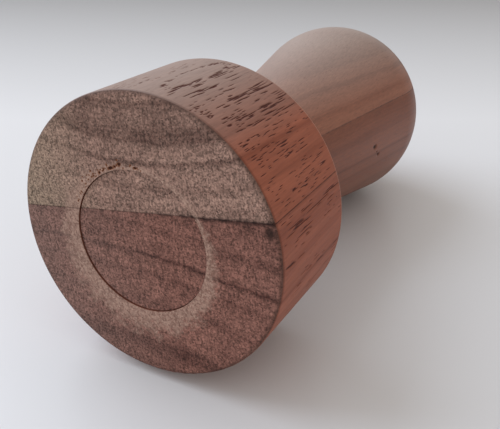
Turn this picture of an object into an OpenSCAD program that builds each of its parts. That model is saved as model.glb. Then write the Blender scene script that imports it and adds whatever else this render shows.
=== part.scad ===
/* [Head] */
// Diameter of the pressing head
head_d = 58; // [50:0.5:66]
// Height of the head, from the foot face to its back face
head_h = 28; // [20:0.5:40]
// Rounding of the rim round the foot face
foot_rim_r = 0.8; // [0.3:0.1:3]
// Rounding of the rim round the back face
back_rim_r = 0.6; // [0.3:0.1:3]

/* [Boards] */
// Distance from the turning axis to the glue line between the two boards
seam_offset = 5.9; // [3:0.1:9]

/* [Tenon] */
// Diameter of the round tenon that runs right through the head
tenon_d = 29; // [22:0.5:31]
// Depth of the tenon's end below the foot face
tenon_setback = 0.3; // [0.1:0.1:1]
// Glue film all round the tenon
glue_gap = 0.1; // [0.05:0.05:0.3]

/* [Neck] */
// Diameter of the shoulder that seats on the back of the head
shoulder_d = 36; // [34:0.5:42]
// Diameter of the neck at its waist
waist_d = 31.4; // [26:0.2:33]
// Height of the waist above the back of the head
waist_rise = 14; // [10:0.5:20]

/* [Knob] */
// Diameter of the knob at its widest ring
knob_d = 48.8; // [42:0.2:54]
// Height of the widest ring above the back of the head
knob_rise = 67.7; // [60:0.5:80]
// Radius of the curve that turns the taper over into the dome
knob_curve_r = 20.5; // [17:0.5:21]
// Radius of the dome's crown
crown_r = 28; // [27:0.5:40]

/* [Hidden] */
$fn = 120;

// Woods, as the finished surface shows them
PALE_WALNUT = "#7b6255";
DARK_WALNUT = "#6a4438";

head_r = head_d / 2;
tenon_r = tenon_d / 2;
bore_r = tenon_r + glue_gap;
shoulder_r = shoulder_d / 2;
waist_r = waist_d / 2;
knob_r = knob_d / 2;

// The cove of the neck is one arc, from the shoulder's edge round the waist
cove_depth = shoulder_r - waist_r;
cove_r = (waist_rise ^ 2 + cove_depth ^ 2) / (2 * cove_depth);
cove_centre = [waist_r + cove_r, head_h + waist_rise];

// The knob's curve and its crown are two arcs with a common tangent
knob_centre = [knob_r - knob_curve_r, head_h + knob_rise];
crown_centre = [0, knob_centre.y - sqrt((crown_r - knob_curve_r) ^ 2 - knob_centre.x ^ 2)];
crown_slant = direction(crown_centre, knob_centre);
top_z = crown_centre.y + crown_r;

// The taper is the straight line that touches the cove and the knob's curve
taper_reach = norm(knob_centre - cove_centre);
taper_slant = direction(cove_centre, knob_centre) - asin((cove_r + knob_curve_r) / taper_reach);

// Angle between the points that draw an arc of the outline
arc_step = 3;
// Cutting blocks reach this far past the wood
spare = 1;

// Angle of the line from one point to another
function direction(from, to) = atan2(to.y - from.y, to.x - from.x);

function on_circle(centre, r, angle) = centre + r * [cos(angle), sin(angle)];

// The points of an arc after its first, which the outline has already
function arc(centre, r, from, to) =
    let (steps = ceil(abs(to - from) / arc_step))
    [for (i = [1:steps]) on_circle(centre, r, from + (to - from) * i / steps)];

// The corner that a quarter round takes off, with the corner itself at the origin
module rim_waste(r) {
    difference() {
        translate([-r, -spare]) square([r + spare, r + spare]);
        translate([-r, r]) circle(r);
    }
}

module head_profile() {
    difference() {
        square([head_r, head_h]);
        translate([head_r, 0]) rim_waste(foot_rim_r);
        translate([head_r, head_h]) mirror([0, 1]) rim_waste(back_rim_r);
    }
}

module handle_profile() {
    polygon(concat(
        [[0, tenon_setback], [tenon_r, tenon_setback], [tenon_r, head_h], [shoulder_r, head_h]],
        arc(cove_centre, cove_r, 180 + asin(waist_rise / cove_r), 90 + taper_slant),
        [on_circle(knob_centre, knob_curve_r, taper_slant - 90)],
        arc(knob_centre, knob_curve_r, taper_slant - 90, crown_slant),
        arc(crown_centre, crown_r, crown_slant, 90)
    ));
}

module turned_head() {
    difference() {
        rotate_extrude() head_profile();
        translate([0, 0, -spare]) cylinder(h = head_h + 2 * spare, r = bore_r);
    }
}

module turned_handle() {
    rotate_extrude() handle_profile();
}

// The side of the glue line that each board fills
module pale_side() {
    reach = head_r + spare;
    translate([-reach, -reach, -spare]) cube([2 * reach, reach - seam_offset, top_z + 2 * spare]);
}

module dark_side() {
    reach = head_r + spare;
    translate([-reach, -seam_offset, -spare]) cube([2 * reach, reach + seam_offset, top_z + 2 * spare]);
}

module head_pale_board() {
    color(PALE_WALNUT) intersection() { turned_head(); pale_side(); }
}

module head_dark_board() {
    color(DARK_WALNUT) intersection() { turned_head(); dark_side(); }
}

module handle_pale_board() {
    color(PALE_WALNUT) intersection() { turned_handle(); pale_side(); }
}

module handle_dark_board() {
    color(DARK_WALNUT) intersection() { turned_handle(); dark_side(); }
}

head_pale_board();
head_dark_board();
handle_pale_board();
handle_dark_board();
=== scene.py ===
import math

import bmesh
import bpy
import numpy as np
from mathutils import Matrix, Vector


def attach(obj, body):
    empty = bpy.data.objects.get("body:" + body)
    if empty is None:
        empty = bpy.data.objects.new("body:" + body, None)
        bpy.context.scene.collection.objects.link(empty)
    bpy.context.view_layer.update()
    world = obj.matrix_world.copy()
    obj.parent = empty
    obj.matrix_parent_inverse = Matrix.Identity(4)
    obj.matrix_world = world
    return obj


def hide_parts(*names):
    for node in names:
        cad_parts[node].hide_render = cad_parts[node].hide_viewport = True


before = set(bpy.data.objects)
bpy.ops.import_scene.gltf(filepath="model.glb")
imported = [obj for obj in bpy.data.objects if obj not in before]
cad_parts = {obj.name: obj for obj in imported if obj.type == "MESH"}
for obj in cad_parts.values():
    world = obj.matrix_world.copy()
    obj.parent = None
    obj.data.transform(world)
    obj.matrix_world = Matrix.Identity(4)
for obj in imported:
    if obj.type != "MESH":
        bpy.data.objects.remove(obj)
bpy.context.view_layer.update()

# Every size below is in millimetres, in the row frame: Z along the turning axis, the foot face at z = 0.
MM = 0.001

HEAD_R = 29.0
HEAD_H = 28.0
FOOT_RIM_R = 0.8
BACK_RIM_R = 0.6
GLUE_PLANE_Y = -5.9
TENON_R = 14.5
BORE_R = 14.6
TENON_SETBACK = 0.3
SHOULDER_R = 18.0
WAIST_R = 15.7
WAIST_Z = 42.0
KNOB_R = 24.4
KNOB_Z = 95.7
KNOB_CURVE_R = 20.5
CROWN_R = 28.0

# The real bore comes out of the foot this far off centre, and the tenon sits against one side of it.
BORE_OFF_CENTRE = (-0.9, 0.3)
TENON_OFF_CENTRE = (-0.83, 0.26)

# Columns of the turned meshes, close enough together to hold a pore's width
HEAD_COLUMNS = 1200
HANDLE_COLUMNS = 600
# Longest steps along the outlines, from where nothing shows to the finest detail
HIDDEN_STEP = 7.0
PLAIN_STEP = 1.4
CURVE_STEP = 0.7
FACE_STEP = 0.6
TENON_END_STEP = 0.5
PORE_STEP = 0.4
PIT_STEP = 0.22
FINE_STEP = 0.16

# Small eased edge of the bore and of the tenon's end
EASE = 0.05
# Width of the ring round the bore where the grain is torn
TORN_RING = 2.4
# Stretch of the handle that holds its two pits
PITTED_Z = (71.5, 78.5)

# Depths of what is cut into the surfaces
PORE_DEPTH = 0.12
TORN_DEPTH = 0.3
PIT_DEPTH = 0.45
HEAD_GLUE_GROOVE = 0.07
HANDLE_GLUE_GROOVE = 0.05
# Edges sharper than this angle stay crisp in the shading
CRISP_ANGLE = math.radians(38)


# Shapes

def arc(centre, radius, start, end, step):
    """Points of an arc of an outline, as radius and height, with its angles in degrees."""
    count = max(2, math.ceil(abs(end - start) * math.pi / 180 * radius / step))
    angles = np.radians(np.linspace(start, end, count + 1))
    return [(centre[0] + radius * math.cos(a), centre[1] + radius * math.sin(a)) for a in angles]


def line(start, end, step):
    """Points of a straight stretch of an outline, without its last one."""
    count = max(1, math.ceil(math.dist(start, end) / step))
    return [tuple(np.array(start) + (np.array(end) - start) * i / count) for i in range(count)]


def head_outline():
    """The head's section, once round from the bore's back edge."""
    torn_r = BORE_R + TORN_RING
    foot_rim = (HEAD_R - FOOT_RIM_R, FOOT_RIM_R)
    back_rim = (HEAD_R - BACK_RIM_R, HEAD_H - BACK_RIM_R)
    return (
        line((BORE_R, HEAD_H), (BORE_R, EASE), HIDDEN_STEP)
        + line((BORE_R, EASE), (BORE_R + EASE, 0.0), PLAIN_STEP)
        + line((BORE_R + EASE, 0.0), (torn_r, 0.0), FINE_STEP)
        + line((torn_r, 0.0), (foot_rim[0], 0.0), FACE_STEP)
        + arc(foot_rim, FOOT_RIM_R, -90, 0, FINE_STEP)[:-1]
        + line((HEAD_R, FOOT_RIM_R), (HEAD_R, back_rim[1]), PORE_STEP)
        + arc(back_rim, BACK_RIM_R, 0, 90, FINE_STEP)[:-1]
        + line((back_rim[0], HEAD_H), (BORE_R, HEAD_H), PLAIN_STEP)
    )


def handle_outline():
    """The handle's section, from the middle of the tenon's end to the top of the dome."""
    cove_depth = SHOULDER_R - WAIST_R
    waist_rise = WAIST_Z - HEAD_H
    cove_r = (waist_rise**2 + cove_depth**2) / (2 * cove_depth)
    cove = np.array([WAIST_R + cove_r, WAIST_Z])
    knob = np.array([KNOB_R - KNOB_CURVE_R, KNOB_Z])
    crown = np.array([0.0, knob[1] - math.sqrt((CROWN_R - KNOB_CURVE_R) ** 2 - knob[0] ** 2)])
    crown_slant = math.degrees(math.atan2(*(knob - crown)[::-1]))
    reach = math.dist(knob, cove)
    slant = math.degrees(math.atan2(*(knob - cove)[::-1]) - math.asin((cove_r + KNOB_CURVE_R) / reach))
    start = 180 + math.degrees(math.asin(waist_rise / cove_r))
    cove_arc = arc(cove, cove_r, start, 90 + slant, CURVE_STEP)
    knob_arc = arc(knob, KNOB_CURVE_R, slant - 90, crown_slant, CURVE_STEP)
    crown_arc = arc(crown, CROWN_R, crown_slant, 90, CURVE_STEP)
    low, high = np.array(cove_arc[-1]), np.array(knob_arc[0])

    below_pits, above_pits = [low + (high - low) * (z - low[1]) / (high[1] - low[1]) for z in PITTED_Z]
    return (
        line((0.0, TENON_SETBACK), (TENON_R - EASE, TENON_SETBACK), TENON_END_STEP)
        + line((TENON_R - EASE, TENON_SETBACK), (TENON_R, TENON_SETBACK + EASE), PLAIN_STEP)
        + line((TENON_R, TENON_SETBACK + EASE), (TENON_R, HEAD_H), HIDDEN_STEP)
        + line((TENON_R, HEAD_H), (SHOULDER_R, HEAD_H), PLAIN_STEP)
        + cove_arc[:-1]
        + line(cove_arc[-1], below_pits, CURVE_STEP)
        + line(below_pits, above_pits, PIT_STEP)
        + line(above_pits, knob_arc[0], CURVE_STEP)
        + knob_arc[:-1]
        + crown_arc
    )


def turned_mesh(outline, columns, closed):
    """Points and faces of the outline turned once round Z. An open outline starts and ends on the axis."""
    outline = np.array(outline)
    angles = np.arange(columns) * 2 * math.pi / columns
    body = outline if closed else outline[1:-1]
    rings = len(body)
    points = np.empty((rings, columns, 3))
    points[..., 0] = body[:, :1] * np.cos(angles)
    points[..., 1] = body[:, :1] * np.sin(angles)
    points[..., 2] = body[:, 1:]
    index = np.arange(rings * columns).reshape(rings, columns)
    low = index if closed else index[:-1]
    high = np.roll(index, -1, axis=0) if closed else index[1:]
    quads = np.stack([low, np.roll(low, -1, axis=1), np.roll(high, -1, axis=1), high], axis=-1)
    faces = quads.reshape(-1, 4).tolist()
    points = points.reshape(-1, 3)
    if not closed:
        foot, top = len(points), len(points) + 1
        points = np.vstack([points, [[0, 0, outline[0, 1]], [0, 0, outline[-1, 1]]]])
        for a, b in zip(index[0], np.roll(index[0], -1)):
            faces.append([foot, int(b), int(a)])
        for a, b in zip(index[-1], np.roll(index[-1], -1)):
            faces.append([top, int(a), int(b)])
    return points, faces


# Pores that the turning has opened along the head's side, in clusters as the rings crowd them, lying along Z.
# Each row: degrees round from X, from and to; z from and to; count; shortest and longest; half width.
# The rows past 20 degrees and before -98 degrees are on the hidden side, which carries the same grain on.
PORE_CLUSTERS = [
    (-98, -84, 0.5, 10, 40, 0.8, 2.0, 0.08),
    (-90, -84, 13, 22, 14, 1.0, 2.0, 0.08),
    (-73, -70, 3, 10, 12, 1.5, 3.5, 0.17),
    (-72, -68.5, 10, 27, 22, 2.0, 5.0, 0.14),
    (-67, -64, 5, 21, 13, 2.5, 6.0, 0.15),
    (-63, -59, 2, 18, 13, 1.0, 3.0, 0.12),
    (-60, -52, 0.5, 4, 20, 0.6, 1.6, 0.15),
    (-58, -53, 7, 13, 8, 1.5, 3.0, 0.16),
    (-57.5, -54, 11, 26, 15, 3.0, 7.0, 0.17),
    (-52, -44, 4, 12, 36, 1.0, 3.0, 0.12),
    (-48, -42.5, 9, 26, 22, 2.0, 6.0, 0.14),
    (-53, -46, 15, 27.5, 14, 2.0, 5.0, 0.1),
    (-42, -36, 1, 9, 15, 1.0, 3.0, 0.14),
    (-42, -34, 8, 27, 24, 1.0, 3.0, 0.09),
    (-36, -27, 3, 18, 34, 1.0, 3.0, 0.1),
    (-34, -27, 12, 22, 12, 1.5, 4.0, 0.13),
    (-25, -13, 2, 20, 48, 0.8, 2.5, 0.1),
    (-25, -13, 15, 27, 16, 2.0, 4.0, 0.09),
    (-9, -1, 4, 26, 14, 4.0, 9.0, 0.12),
    (-7, -5, 4, 11, 3, 3.0, 5.0, 0.17),
    (-10, 3, 1, 27, 26, 1.0, 3.0, 0.09),
    (5, 8, 1, 8, 5, 2.0, 4.0, 0.13),
    (12, 20, 3, 26, 14, 2.0, 4.0, 0.1),
    (20, 190, 0, 28, 300, 1.5, 7.0, 0.12),
    (-168, -98, 0, 28, 240, 1.0, 4.0, 0.12),
]
# No pore comes closer to the rims than this
RIM_CLEAR = 0.3
# A closed loop of the rings, like an island, shows at the top of the pale board's side
ISLAND = {"azimuth": -75.2, "z": 15.5, "half_azimuth": 4.8, "half_z": 10.5, "count": 70}


def pore_list(rng):
    """Azimuth, middle z, half length, half width and slant of every open pore."""
    pores = []
    for first, last, low, high, count, shortest, longest, half_width in PORE_CLUSTERS:
        for _ in range(count):
            azimuth, middle = rng.uniform(first, last), rng.uniform(low, high)
            half = rng.uniform(shortest, longest) / 2
            pores.append((azimuth, middle, half, half_width * rng.uniform(0.7, 1.15), rng.normal(0, 0.02)))
    for _ in range(ISLAND["count"]):
        turn = rng.uniform(0, 2 * math.pi)
        cap = abs(math.sin(turn)) ** 4
        pores.append((ISLAND["azimuth"] + ISLAND["half_azimuth"] * math.cos(turn) + rng.normal(0, 0.35),
                      ISLAND["z"] - ISLAND["half_z"] * math.sin(turn) + rng.normal(0, 0.4),
                      rng.uniform(0.4, 1.4) * (1 - 0.5 * cap), rng.uniform(0.08, 0.17),
                      -0.35 * math.cos(turn) * math.sin(turn)))
    return pores


def open_pores(points, rng):
    """How deep each vertex of the head's side lies in an open pore, from 0 to 1."""
    depth = np.zeros(len(points))
    radius = np.hypot(points[:, 0], points[:, 1])
    between_rims = (points[:, 2] > RIM_CLEAR) & (points[:, 2] < HEAD_H - RIM_CLEAR)
    side = np.flatnonzero((radius > HEAD_R - 0.02) & between_rims)
    z = points[side, 2]
    arc_length = np.arctan2(points[side, 1], points[side, 0]) * HEAD_R
    order = np.argsort(arc_length, kind="stable")
    side, z, arc_length = side[order], z[order], arc_length[order]
    around = 2 * math.pi * HEAD_R
    for azimuth, middle, half, half_width, slant in pore_list(rng):
        column = round(((azimuth + 180) % 360 - 180) * HEAD_COLUMNS / 360)
        place = column * around / HEAD_COLUMNS
        reach = half_width + abs(slant) * half
        first, last = np.searchsorted(arc_length, (place - reach, place + reach))
        near = slice(first, last)
        along = (z[near] - middle) / half
        across = (arc_length[near] - place - slant * (z[near] - middle)) / half_width
        cut = np.clip(1 - along**2, 0, 1) ** 0.7 * np.clip(1 - across**2, 0, 1) ** 0.6
        depth[side[near]] = np.maximum(depth[side[near]], cut * min(1.0, 0.55 + 3 * half_width))
    return depth


# Torn grain at the upper left of the tenon's edge: x, y, half length round the edge, half width
TORN = [
    (-7.2, -13.5, 0.42, 0.34), (-6.3, -13.9, 0.3, 0.2), (-4.4, -14.5, 0.75, 0.36), (-3.3, -14.8, 0.4, 0.3),
    (-2.2, -15.3, 0.55, 0.34), (1.3, -14.7, 0.5, 0.26), (0.4, -15.2, 0.3, 0.2), (-9.3, -12.6, 0.25, 0.2),
]
# Smaller torn spots lie between them, this many between these angles
TORN_SPOTS = 46
TORN_AZIMUTHS = (-150, -76)
# Two pits in the handle: azimuth, z, half width
KNOB_PITS = [(10.1, 73.6, 0.62), (17.5, 76.1, 0.45), (14.5, 74.9, 0.2)]


def torn_grain(points, rng):
    """How deep each vertex of the foot lies in torn grain, from 0 to 1."""
    depth = np.zeros(len(points))
    face = np.flatnonzero(points[:, 2] < 0.01)
    x, y = points[face, 0], points[face, 1]
    marks = list(TORN)
    middle_x, middle_y = TENON_OFF_CENTRE
    for _ in range(TORN_SPOTS):
        azimuth = math.radians(rng.uniform(*TORN_AZIMUTHS))
        out = TENON_R + 0.25 + rng.gamma(1.6, 0.45)
        spot = (middle_x + out * math.cos(azimuth), middle_y + out * math.sin(azimuth))
        marks.append((*spot, rng.uniform(0.14, 0.3), rng.uniform(0.1, 0.2)))
    for mark_x, mark_y, long, short in marks:
        azimuth = math.atan2(mark_y - middle_y, mark_x - middle_x)
        out = (x - mark_x) * math.cos(azimuth) + (y - mark_y) * math.sin(azimuth)
        round_edge = -(x - mark_x) * math.sin(azimuth) + (y - mark_y) * math.cos(azimuth)
        away = np.hypot(out / short, round_edge / long)
        depth[face] = np.maximum(depth[face], np.clip(1.15 - away, 0, 1) * min(1.0, 0.35 + long))
    return depth


def knob_pits(points):
    """How deep each vertex of the handle lies in one of its pits, from 0 to 1."""
    depth = np.zeros(len(points))
    azimuth = np.degrees(np.arctan2(points[:, 1], points[:, 0]))
    radius = np.hypot(points[:, 0], points[:, 1])
    for place, z, half_width in KNOB_PITS:
        across = np.radians(azimuth - place) * radius / half_width
        along = (points[:, 2] - z) / (half_width * 1.5)
        depth = np.maximum(depth, np.clip(1.2 - np.hypot(across, along), 0, 1) * (radius > TENON_R + 2))
    return depth


# Growth rings of the two boards. A ring's place is its distance from the pith, where the tree's middle was.
# The pith leans off the turning axis by this much per millimetre of z. Tones run from 0, dark, to 1, pale.
BOARDS = {
    "pale": {
        "pith": (8.0, -96.0),
        "lean": (0.0, 0.03),
        "rings": [(66.0, 0.5), (68.5, 0.6), (70.0, 0.3), (71.6, 0.5), (74.0, 0.4), (76.0, 0.15), (77.2, 0.62),
                  (79.6, 0.7), (80.5, 0.25), (81.4, 0.66), (84.4, 0.74), (85.6, 0.45), (86.6, 0.76),
                  (88.6, 0.8), (89.4, 0.6), (91.0, 0.7), (96.0, 0.4), (100.0, 0.7), (104.0, 0.5)],
    },
    "dark": {
        "pith": (-45.0, 260.0),
        "lean": (0.02, -0.02),
        "rings": [(232.0, 0.6), (235.0, 0.35), (238.0, 0.5), (240.0, 0.2), (242.0, 0.25), (244.2, 0.6),
                  (249.4, 0.62), (250.5, 0.3), (252.0, 0.64), (255.8, 0.58), (257.0, 0.35), (258.2, 0.62),
                  (260.2, 0.5), (261.0, 0.18), (262.2, 0.6), (266.0, 0.52), (267.5, 0.3), (268.6, 0.55),
                  (272.0, 0.4)],
    },
}


def board_mesh(name, points, faces, layers, keep_pale, groove):
    """One board: the turned mesh cut at the glue plane and closed, with its outer arris sunk by groove."""
    mesh = bpy.data.meshes.new(name)
    mesh.from_pydata((points * MM).tolist(), [], faces)
    for layer, values in layers.items():
        mesh.attributes.new(layer, "FLOAT", "POINT").data.foreach_set("value", values.astype(np.float32))
    bm = bmesh.new()
    bm.from_mesh(mesh)
    plane = Vector((0, GLUE_PLANE_Y * MM, 0))
    bmesh.ops.bisect_plane(
        bm, geom=bm.verts[:] + bm.edges[:] + bm.faces[:], dist=1e-7, plane_co=plane,
        plane_no=(0, 1, 0), clear_outer=keep_pale, clear_inner=not keep_pale,
    )
    edge = [e for e in bm.edges if e.is_boundary]
    rim = {v for e in edge for v in e.verts}
    # The arris is sunk towards the wood, square to the glue plane's own direction.
    moves = {}
    for v in rim:
        normal = Vector((0, 0, 0))
        for f in v.link_faces:
            normal += f.normal * f.calc_area()
        normal.y = 0
        if normal.length > 0:
            moves[v] = normal.normalized() * (-groove * MM)
    for v, move in moves.items():
        v.co += move
    bmesh.ops.holes_fill(bm, edges=edge, sides=0)
    bmesh.ops.recalc_face_normals(bm, faces=bm.faces[:])
    bmesh.ops.triangulate(bm, faces=[f for f in bm.faces if len(f.verts) > 4])
    bm.to_mesh(mesh)
    bm.free()
    mesh.shade_smooth()
    mesh.set_sharp_from_angle(angle=CRISP_ANGLE)
    return mesh


# Finishes

def linear(colour):
    """An sRGB hex colour as linear RGBA."""
    parts = [int(colour[i:i + 2], 16) / 255 for i in (1, 3, 5)]
    return [p / 12.92 if p <= 0.04045 else ((p + 0.055) / 1.055) ** 2.4 for p in parts] + [1.0]


def add(tree, kind, *inputs, out=0, **settings):
    """Adds a shader node. Inputs go to its shown sockets in order: a socket is linked, a value is set."""
    node = tree.nodes.new("ShaderNode" + kind)
    for name, value in settings.items():
        if hasattr(node, name):
            setattr(node, name, value)
    sockets = [s for s in node.inputs if s.enabled]
    named = [(node.inputs[name.replace("_", " ")], value) for name, value in settings.items()
             if not hasattr(node, name)]
    for socket, value in list(zip(sockets, inputs)) + named:
        if isinstance(value, bpy.types.NodeSocket):
            tree.links.new(value, socket)
        elif value is not None:
            socket.default_value = value
    shown = [s for s in node.outputs if s.enabled]
    return shown[out]


# Walnut under oil. Late wood is dark and early wood light, and each board shifts towards far at one side. On
# the pale board's side and handle the far colour is a painted sheen, greyer towards the top where the window's
# light falls.
# The foot is sanded end grain, which drinks the oil and looks dull and grey-brown. The head's side is long
# grain with open pores, warmer and redder. The handle is rubbed smoother and has a satin sheen.
TONES = {
    ("pale", "foot"): {"dark": "#573f37", "light": "#9f8072", "far": "#93806e"},
    ("dark", "foot"): {"dark": "#4b2f29", "light": "#9a6d60", "far": "#7d655d"},
    ("pale", "side"): {"dark": "#7a3f2b", "light": "#a9644c", "far": "#978075"},
    ("dark", "side"): {"dark": "#7c402d", "light": "#b47059", "far": "#8d5643"},
    ("pale", "handle"): {"dark": "#6e3f2e", "light": "#9c6751", "far": "#9a867b"},
    ("dark", "handle"): {"dark": "#6a3a29", "light": "#925b45", "far": "#784431"},
}
ROUGHNESS = {"foot": 0.75, "side": 0.52, "handle": 0.42}
SPECULAR_LEVEL = {"foot": 0.2, "side": 0.2, "handle": 0.4}
BUMP_STRENGTH = {"foot": 0.4, "side": 0.25, "handle": 0.25}
BUMP_DEPTH = 0.08
WOOD_IOR = 1.5
PORE_BROWN = "#4a170a"
GLUE_BROWN = "#2a1916"
PIT_BROWN = "#2e120b"
FOOT_RIM_BROWN = "#4c3831"
SIDE_RIM_BROWN = "#4a2f27"
# Pale line along the back rim's edge: a painted highlight
RIM_HIGHLIGHT_TAN = "#c09a86"
KNOT_BROWN = "#2a1b16"
TORN_ORANGE = "#8a5433"
TORN_BROWN = "#35170e"
HALO_DARK = "#84675a"
HALO_LIGHT = "#c0a08f"

# Scales of the patterns, in repeats per millimetre. Walnut's fibres are about 0.03 mm thick, too fine to show,
# so they are drawn coarser, as bundles 0.3 mm thick. Its pores are about 0.2 mm wide and 0.7 mm apart.
FIBRE_BUNDLES = 3.3
FIBRE_CLUMPS = 1.4
STREAKS = 3.0
PORES = {"foot": 1.5, "side": 1.7, "handle": 1.5}
# Pores and streaks are long along Z: the pores repeat this often there, and a streak's width is this share of
# its length
PORES_ALONG = {"foot": 0.2, "side": 0.24, "handle": 0.16}
STREAK_SLIMNESS = 0.06
# A pore's middle and its soft edge, as shares of the pores' spacing, and its strength
PORE_EDGES = {"foot": (0.12, 0.26, 0.45), "side": (0.1, 0.2, 0.35), "handle": (0.08, 0.2, 0.3)}
# The rings wander over 11 mm and waver over 2 mm, by these amounts in millimetres
RING_WANDER = 2.2
RING_WAVER = 0.9


def ring_tone(tree, board, place, z):
    """How pale the growth rings are at each place, from 0 in late wood to 1 in early wood."""
    along = add(tree, "VectorMath", place, (1.0, 1.0, 0.1), operation="MULTIPLY")
    lean = add(tree, "VectorMath", (*board["lean"], 1.0), operation="SCALE", Scale=z)
    pith = add(tree, "VectorMath", lean, (*board["pith"], 0.0), operation="ADD")
    from_pith = add(tree, "VectorMath", place, pith, operation="SUBTRACT")
    ring = add(tree, "VectorMath", from_pith, operation="LENGTH", out=0)
    for scale, detail, reach in ((0.09, 2.0, RING_WANDER), (0.5, 1.0, RING_WAVER)):
        noise = add(tree, "TexNoise", along, Scale=scale, Detail=detail)
        ring = add(tree, "Math", ring, -reach / 2, operation="ADD")
        ring = add(tree, "Math", noise, reach, ring, operation="MULTIPLY_ADD")

    first, last = board["rings"][0][0], board["rings"][-1][0]
    ramp = tree.nodes.new("ShaderNodeValToRGB")
    stops = ramp.color_ramp.elements
    stops.remove(stops[1])
    for index, (distance, tone) in enumerate(board["rings"]):
        position = (distance - first) / (last - first)
        stop = stops[0] if index == 0 else stops.new(position)
        stop.position = position
        stop.color = (tone, tone, tone, 1.0)
    tree.links.new(add(tree, "MapRange", ring, first, last, 0.0, 1.0), ramp.inputs["Fac"])

    # Fine rings about 0.8 mm apart, and a mottle some 6 mm across
    fine = add(tree, "TexNoise", noise_dimensions="1D", W=ring, Scale=1.3, Detail=2.0)
    tone = add(tree, "Math", ramp.outputs["Color"], -0.25, operation="ADD")
    tone = add(tree, "Math", fine, 0.5, tone, operation="MULTIPLY_ADD")
    mottle = add(tree, "TexNoise", along, Scale=0.16, Detail=3.0, Roughness=0.6)
    tone = add(tree, "Math", tone, -0.4, operation="ADD")
    return add(tree, "Math", mottle, 0.8, tone, operation="MULTIPLY_ADD", use_clamp=True)


def far_tone_and_painted_sheen(tree, board_name, surface, x, y):
    """How far the wood has shifted to the board's far colour. On the pale board's side and handle that shift
    is a painted sheen, greyer towards the top of the tamper as it lies.
    """
    if board_name == "dark":
        return add(tree, "MapRange", x, -28.0, 5.0, 0.7, 0.0)
    if surface == "foot":
        return add(tree, "MapRange", x, -26.0, -8.0, 0.85, 0.0)
    # The pale board's side and handle: a painted sheen that rises towards the top as the tamper lies
    outer, inner = (-28.5, -17.0) if surface == "side" else (-22.5, -9.0)
    return add(tree, "MapRange", y, outer, inner, 1.0, 0.0)


def fibres(tree, place, surface):
    """Dots on the end grain or short streaks on the long grain, and how much each darkens the colour."""
    if surface == "foot":
        cells = add(tree, "TexVoronoi", place, Scale=FIBRE_BUNDLES, out=1)
        cells = add(tree, "SeparateColor", cells, out=0)
        clumps = add(tree, "TexNoise", place, Scale=FIBRE_CLUMPS, Detail=2.0, Roughness=0.8)
        rays = add(tree, "VectorMath", place, (2.6, 0.5, 1.0), operation="MULTIPLY")
        rays = add(tree, "TexNoise", rays, Scale=1.0, Detail=2.0)
        fleck = add(tree, "Math", clumps, 0.35, rays, operation="MULTIPLY_ADD")
        fleck = add(tree, "Math", cells, 0.7, fleck, operation="MULTIPLY_ADD")
        return fleck, add(tree, "MapRange", fleck, 0.6, 1.5, 0.42, 1.7)
    streaks = add(tree, "VectorMath", place, (1.0, 1.0, STREAK_SLIMNESS), operation="MULTIPLY")
    fleck = add(tree, "TexNoise", streaks, Scale=STREAKS, Detail=3.0, Roughness=0.65)
    return fleck, add(tree, "MapRange", fleck, 0.3, 0.7, 0.84, 1.16)


def pores(tree, place, surface):
    """Fine pores all over, and on the side the large open ones that are cut into the mesh."""
    spacing = (PORES[surface], PORES[surface], PORES_ALONG[surface])
    pore = add(tree, "VectorMath", place, spacing, operation="MULTIPLY")
    pore = add(tree, "TexVoronoi", pore, Scale=1.0)
    middle, edge, strength = PORE_EDGES[surface]
    pore = add(tree, "MapRange", pore, middle, edge, strength, 0.0)
    if surface == "side":
        cut = add(tree, "Attribute", attribute_name="open_pore", out=2)
        cut = add(tree, "MapRange", cut, 0.2, 0.7, 0.0, 1.0)
        pore = add(tree, "Math", pore, cut, operation="MAXIMUM")
    return pore


# The halo's width in millimetres on average, how much wider it is on its widest side, and where that side is
HALO_WIDTH = 3.1
HALO_LEAN = 2.3
HALO_TURN = math.radians(125)
# Place of the knot on the foot face
KNOT = (27.2, -4.1)


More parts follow.
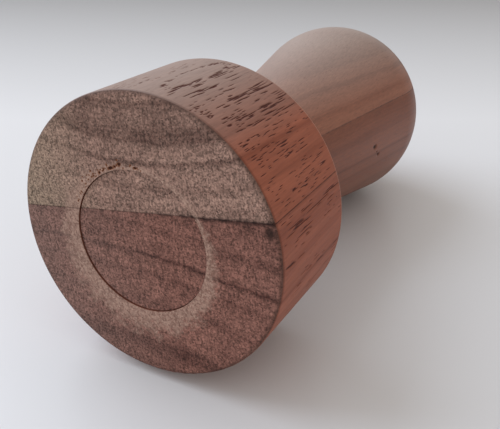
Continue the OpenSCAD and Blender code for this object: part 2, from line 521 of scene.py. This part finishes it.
def foot_marks(tree, colour, place, x, y):
    """The pale ragged halo round the tenon, where wiped glue kept the oil out, the torn grain and a knot."""
    flat = add(tree, "CombineXYZ", x, y, 0.0)
    middle = (-TENON_OFF_CENTRE[0], -TENON_OFF_CENTRE[1], 0.0)
    from_tenon = add(tree, "VectorMath", flat, middle, operation="ADD")
    radius = add(tree, "VectorMath", from_tenon, operation="LENGTH", out=0)
    widest = (math.cos(HALO_TURN), math.sin(HALO_TURN), 0.0)
    toward = add(tree, "VectorMath", from_tenon, widest, operation="DOT_PRODUCT", out=0)
    toward = add(tree, "Math", toward, radius, operation="DIVIDE")
    width = add(tree, "Math", toward, HALO_LEAN, HALO_WIDTH, operation="MULTIPLY_ADD")
    past_edge = add(tree, "Math", radius, TENON_R, operation="SUBTRACT")
    out = add(tree, "Math", past_edge, width, operation="DIVIDE")
    ragged = add(tree, "TexNoise", place, Scale=0.4, Detail=6.0, Roughness=0.8)
    out = add(tree, "Math", out, -1.7, operation="ADD")
    out = add(tree, "Math", ragged, 3.4, out, operation="MULTIPLY_ADD")
    halo = add(tree, "MapRange", out, 0.6, 1.2, 0.72, 0.0)
    outside = add(tree, "Math", radius, TENON_R, operation="GREATER_THAN")
    halo = add(tree, "Math", halo, outside, operation="MULTIPLY")
    speck = add(tree, "SeparateColor", add(tree, "TexVoronoi", place, Scale=2.8, out=1), out=1)
    tan = add(tree, "Mix", speck, linear(HALO_DARK), linear(HALO_LIGHT), data_type="RGBA")
    colour = add(tree, "Mix", halo, colour, tan, data_type="RGBA")

    torn = add(tree, "Attribute", attribute_name="torn", out=2)
    shallow = add(tree, "MapRange", torn, 0.02, 0.25, 0.0, 0.8)
    colour = add(tree, "Mix", shallow, colour, linear(TORN_ORANGE), data_type="RGBA")
    deep = add(tree, "MapRange", torn, 0.2, 0.55, 0.0, 0.95)
    colour = add(tree, "Mix", deep, colour, linear(TORN_BROWN), data_type="RGBA")

    knot = add(tree, "VectorMath", place, (-KNOT[0], -KNOT[1], 0.0), operation="ADD")
    knot = add(tree, "VectorMath", knot, (0.8, 0.6, 0.2), operation="MULTIPLY")
    knot = add(tree, "VectorMath", knot, operation="LENGTH", out=0)
    knot = add(tree, "MapRange", knot, 0.4, 1.1, 0.85, 0.0)
    return add(tree, "Mix", knot, colour, linear(KNOT_BROWN), data_type="RGBA")


def edges_and_pits(tree, colour, surface, x, y, z):
    """The rims, darker along the foot's rim and with a painted highlight along the back rim, and the handle's
    pits.
    """
    if surface == "foot":
        radius = add(tree, "VectorMath", add(tree, "CombineXYZ", x, y, 0.0), operation="LENGTH", out=0)
        rim = add(tree, "MapRange", radius, HEAD_R - 0.9, HEAD_R - 0.2, 0.0, 0.6)
        return add(tree, "Mix", rim, colour, linear(FOOT_RIM_BROWN), data_type="RGBA")
    if surface == "side":
        rim = add(tree, "MapRange", z, 0.3, 0.9, 0.6, 0.0)
        colour = add(tree, "Mix", rim, colour, linear(SIDE_RIM_BROWN), data_type="RGBA")
        # Painted highlight: a pale line along the back rim's edge, where the light catches it
        rim_highlight = add(tree, "MapRange", z, HEAD_H - 0.75, HEAD_H - 0.35, 0.0, 0.6)
        return add(tree, "Mix", rim_highlight, colour, linear(RIM_HIGHLIGHT_TAN), data_type="RGBA")
    pit = add(tree, "Attribute", attribute_name="pit", out=2)
    pit = add(tree, "MapRange", pit, 0.05, 0.7, 0.0, 0.95)
    return add(tree, "Mix", pit, colour, linear(PIT_BROWN), data_type="RGBA")


def glue_line(tree, surface, place, x, y):
    """The glue between the boards: thick and dark on the right of the foot, thin and faint elsewhere."""
    glue = add(tree, "Math", y, -GLUE_PLANE_Y, operation="ADD")
    glue = add(tree, "Math", glue, operation="ABSOLUTE")
    half_width, strength = 0.2, 0.6
    if surface == "foot":
        half_width = add(tree, "MapRange", x, -2.0, 16.0, 0.2, 0.75)
        strength = add(tree, "MapRange", x, -10.0, 14.0, 0.5, 1.0)
    glue = add(tree, "MapRange", glue, 0.03, half_width, strength, 0.0)
    ragged = add(tree, "TexNoise", place, Scale=0.8, Detail=2.0)
    ragged = add(tree, "MapRange", ragged, 0.3, 0.6, 0.35, 1.0)
    return add(tree, "Math", glue, ragged, operation="MULTIPLY")


def walnut(name, board_name, surface):
    """Walnut: sanded end grain on the "foot", open-pored long grain on the "side", satin on the "handle"."""
    material = bpy.data.materials.new(name)
    material.use_nodes = True
    tree = material.node_tree
    tree.nodes.clear()
    place = add(tree, "VectorMath", add(tree, "TexCoord", out=3), operation="SCALE", Scale=1 / MM)
    x, y, z = [add(tree, "SeparateXYZ", place, out=axis) for axis in range(3)]

    tones = {part: linear(colour) for part, colour in TONES[board_name, surface].items()}
    tone = ring_tone(tree, BOARDS[board_name], place, z)
    colour = add(tree, "Mix", tone, tones["dark"], tones["light"], data_type="RGBA")
    # Far colour; on the pale board's side and handle this is a painted sheen, greyer towards the top
    far = far_tone_and_painted_sheen(tree, board_name, surface, x, y)
    colour = add(tree, "Mix", far, colour, tones["far"], data_type="RGBA")
    fleck, grey = fibres(tree, place, surface)
    colour = add(tree, "Mix", 1.0, colour, grey, data_type="RGBA", blend_type="MULTIPLY")
    pore = pores(tree, place, surface)
    colour = add(tree, "Mix", pore, colour, linear(PORE_BROWN), data_type="RGBA")
    if surface == "foot":
        colour = foot_marks(tree, colour, place, x, y)
    colour = edges_and_pits(tree, colour, surface, x, y, z)
    glue = glue_line(tree, surface, place, x, y)
    colour = add(tree, "Mix", glue, colour, linear(GLUE_BROWN), data_type="RGBA")

    rough = ROUGHNESS[surface]
    roughness = add(tree, "MapRange", fleck, 0.2, 0.8, rough - 0.06, rough + 0.08)
    height = add(tree, "Math", pore, -1.0, fleck, operation="MULTIPLY_ADD")
    bump = add(tree, "Bump", Strength=BUMP_STRENGTH[surface], Distance=BUMP_DEPTH * MM, Height=height)
    shader = tree.nodes.new("ShaderNodeBsdfPrincipled")
    shader.inputs["IOR"].default_value = WOOD_IOR
    shader.inputs["Specular IOR Level"].default_value = SPECULAR_LEVEL[surface]
    tree.links.new(colour, shader.inputs["Base Color"])
    tree.links.new(roughness, shader.inputs["Roughness"])
    tree.links.new(bump, shader.inputs["Normal"])
    output = tree.nodes.new("ShaderNodeOutputMaterial")
    tree.links.new(shader.outputs["BSDF"], output.inputs["Surface"])
    return material


# The four boards

def sunk(points, share, depth):
    """Moves points towards the turning axis, by the depth times each point's share of it."""
    radius = np.hypot(points[:, 0], points[:, 1])
    points[:, :2] *= (1 - depth * share / np.maximum(radius, 1))[:, None]


def drilled_off_centre(points, offset):
    """Moves the bore or the tenon sideways towards the foot, where the real one comes out off centre."""
    still_r, moved_r = HEAD_R - 2, 16
    radius = np.hypot(points[:, 0], points[:, 1])
    inward = np.clip((still_r - radius) / (still_r - moved_r), 0, 1)
    footward = np.clip(1 - points[:, 2] / HEAD_H, 0, 1)
    points[:, :2] += (inward * footward)[:, None] * np.array(offset)


rng = np.random.default_rng(58)
head_points, head_faces = turned_mesh(head_outline(), HEAD_COLUMNS, closed=True)
head_pore = open_pores(head_points, rng)
sunk(head_points, head_pore, PORE_DEPTH)
drilled_off_centre(head_points, BORE_OFF_CENTRE)
head_torn = torn_grain(head_points, rng)
head_points[:, 2] += TORN_DEPTH * head_torn

handle_points, handle_faces = turned_mesh(handle_outline(), HANDLE_COLUMNS, closed=False)
drilled_off_centre(handle_points, TENON_OFF_CENTRE)
handle_pit = knob_pits(handle_points)
sunk(handle_points, handle_pit, PIT_DEPTH)


def place_board(node, mesh, long_grain, end_grain, is_end_grain):
    """Puts one board in the scene, in place of its CAD node, with end grain on the faces that show it."""
    mesh.materials.append(long_grain)
    mesh.materials.append(end_grain)
    for face in mesh.polygons:
        if is_end_grain(face):
            face.material_index = 1
    piece = bpy.data.objects.new(f"{node}_turned", mesh)
    bpy.context.scene.collection.objects.link(piece)
    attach(piece, "root")
    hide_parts(node)


def on_foot_face(face):
    return face.center.z < (EASE + 0.01) * MM or face.normal.z < -0.6


def on_tenon_end(face):
    return face.center.z < (TENON_SETBACK + EASE) * MM


for board_name, slot in (("pale", "pale_walnut"), ("dark", "dark_walnut")):
    pale = board_name == "pale"
    foot = walnut(f"{board_name}_walnut_end_grain_sanded", board_name, "foot")
    side = walnut(f"{board_name}_walnut_long_grain_open_pores", board_name, "side")
    handle = walnut(f"{board_name}_walnut_oiled_satin", board_name, "handle")

    cuts = {"open_pore": head_pore, "torn": head_torn}
    mesh = board_mesh(f"head_{board_name}", head_points, head_faces, cuts, pale, HEAD_GLUE_GROOVE)
    place_board(f"head_{board_name}_board", mesh, side, foot, on_foot_face)
    cuts = {"pit": handle_pit}
    mesh = board_mesh(f"handle_{board_name}", handle_points, handle_faces, cuts, pale, HANDLE_GLUE_GROOVE)
    place_board(f"handle_{board_name}_board", mesh, handle, foot, on_tenon_end)


# Table, light and camera

# The tamper lies on its head's rim and its knob. These are the table's own axes in the row frame.
TABLE_RIGHT = Vector((0.87648, 0.12358, 0.46530))
TABLE_FORWARD = Vector((-0.44897, -0.13913, 0.88266))
TABLE_UP = Vector((0.17381, -0.98253, -0.06645))
# Height of the foot face's middle above the table, and the place on the axis that the table is centred on
FOOT_ABOVE_TABLE = 30.76
TAMPER_MIDDLE_Z = 58
MIDDLE_ABOVE_TABLE = FOOT_ABOVE_TABLE + TABLE_UP.z * TAMPER_MIDDLE_Z
TABLE_MIDDLE = Vector((0, 0, TAMPER_MIDDLE_Z)) - TABLE_UP * MIDDLE_ABOVE_TABLE
TABLE_REACH = 2500
# The far part of the table is in shade: metres forward where the shade begins and where it is full
SHADE = (0.14, 0.38)
ROOM_STRENGTH = 0.98


def on_table(right, forward, up):
    """A point in metres, given in millimetres along the table's own axes."""
    return (TABLE_MIDDLE + TABLE_RIGHT * right + TABLE_FORWARD * forward + TABLE_UP * up) * MM


def white_lacquer():
    """White lacquer: pale, with a faint sheen. From below it is clear, so it never hides the tamper."""
    material = bpy.data.materials.new("white_lacquered_tabletop")
    material.use_nodes = True
    tree = material.node_tree
    tree.nodes.clear()
    shader = tree.nodes.new("ShaderNodeBsdfPrincipled")
    place = add(tree, "TexCoord", out=3)
    forward = add(tree, "VectorMath", place, TABLE_FORWARD, operation="DOT_PRODUCT", out=0)
    far = add(tree, "MapRange", forward, *SHADE, 0.0, 1.0)
    colour = add(tree, "Mix", far, linear("#dcdcdc"), linear("#7e7d7c"), data_type="RGBA")
    tree.links.new(colour, shader.inputs["Base Color"])
    shader.inputs["Roughness"].default_value = 0.32
    shader.inputs["IOR"].default_value = 1.45
    clear = tree.nodes.new("ShaderNodeBsdfTransparent")
    behind = add(tree, "NewGeometry", out=6)
    mix = tree.nodes.new("ShaderNodeMixShader")
    tree.links.new(behind, mix.inputs[0])
    tree.links.new(shader.outputs[0], mix.inputs[1])
    tree.links.new(clear.outputs[0], mix.inputs[2])
    output = tree.nodes.new("ShaderNodeOutputMaterial")
    tree.links.new(mix.outputs[0], output.inputs["Surface"])
    return material


def tabletop():
    corners = [on_table(right * TABLE_REACH, forward * TABLE_REACH, 0)
               for right, forward in ((-1, -1), (1, -1), (1, 1), (-1, 1))]
    mesh = bpy.data.meshes.new("tabletop")
    mesh.from_pydata([tuple(c) for c in corners], [], [(0, 1, 2, 3)])
    mesh.materials.append(white_lacquer())
    top = bpy.data.objects.new("tabletop", mesh)
    bpy.context.scene.collection.objects.link(top)


def room_light():
    """The room's even light, a little darker on the right."""
    world = bpy.data.worlds.new("studio")
    bpy.context.scene.world = world
    world.use_nodes = True
    sky = world.node_tree
    toward = add(sky, "TexCoord", out=0)
    from_left = add(sky, "VectorMath", toward, -TABLE_RIGHT, operation="DOT_PRODUCT", out=0)
    from_left = add(sky, "MapRange", from_left, -1.0, 1.0, 0.0, 1.0)
    room = add(sky, "Mix", from_left, linear("#c3bbb4"), linear("#f4f4f6"), data_type="RGBA")
    sky.links.new(room, sky.nodes["Background"].inputs["Color"])
    sky.nodes["Background"].inputs["Strength"].default_value = ROOM_STRENGTH


def softbox(name, place, width, height, power, colour):
    """A soft rectangular light that points at the tamper, its sizes in metres and its power in watts."""
    light = bpy.data.lights.new(name, "AREA")
    light.shape = "RECTANGLE"
    light.size, light.size_y = width, height
    light.energy = power
    light.color = linear(colour)[:3]
    lamp = bpy.data.objects.new(name, light)
    bpy.context.scene.collection.objects.link(lamp)
    aim = on_table(0, 0, 25) - place
    lamp.matrix_world = Matrix.Translation(place) @ aim.to_track_quat("-Z", "Y").to_matrix().to_4x4()


# The camera's place in millimetres and the way it looks, fitted to the rims of the head and to the knob
CAMERA_PLACE = Vector((79.59, -49.45, -93.79))
CAMERA_UP = Vector((-0.06819, -0.92488, 0.3741))
CAMERA_FORWARD = Vector((-0.47658, 0.35963, 0.80221))


def photograph_camera():
    data = bpy.data.cameras.new("camera")
    data.sensor_width = 36.0
    data.lens = 50.26
    data.clip_start = 0.005
    data.clip_end = 20.0
    camera = bpy.data.objects.new("camera", data)
    bpy.context.scene.collection.objects.link(camera)
    turn = Matrix((TABLE_RIGHT, CAMERA_UP, -CAMERA_FORWARD)).transposed()
    camera.matrix_world = Matrix.Translation(CAMERA_PLACE * MM) @ turn.to_4x4()
    return camera


tabletop()
room_light()
softbox("window_back_left", on_table(-1000, 520, 840), width=1.5, height=1.3, power=19.0, colour="#dfeafb")
bpy.context.scene.camera = photograph_camera()
bpy.context.scene.view_settings.view_transform = "Standard"
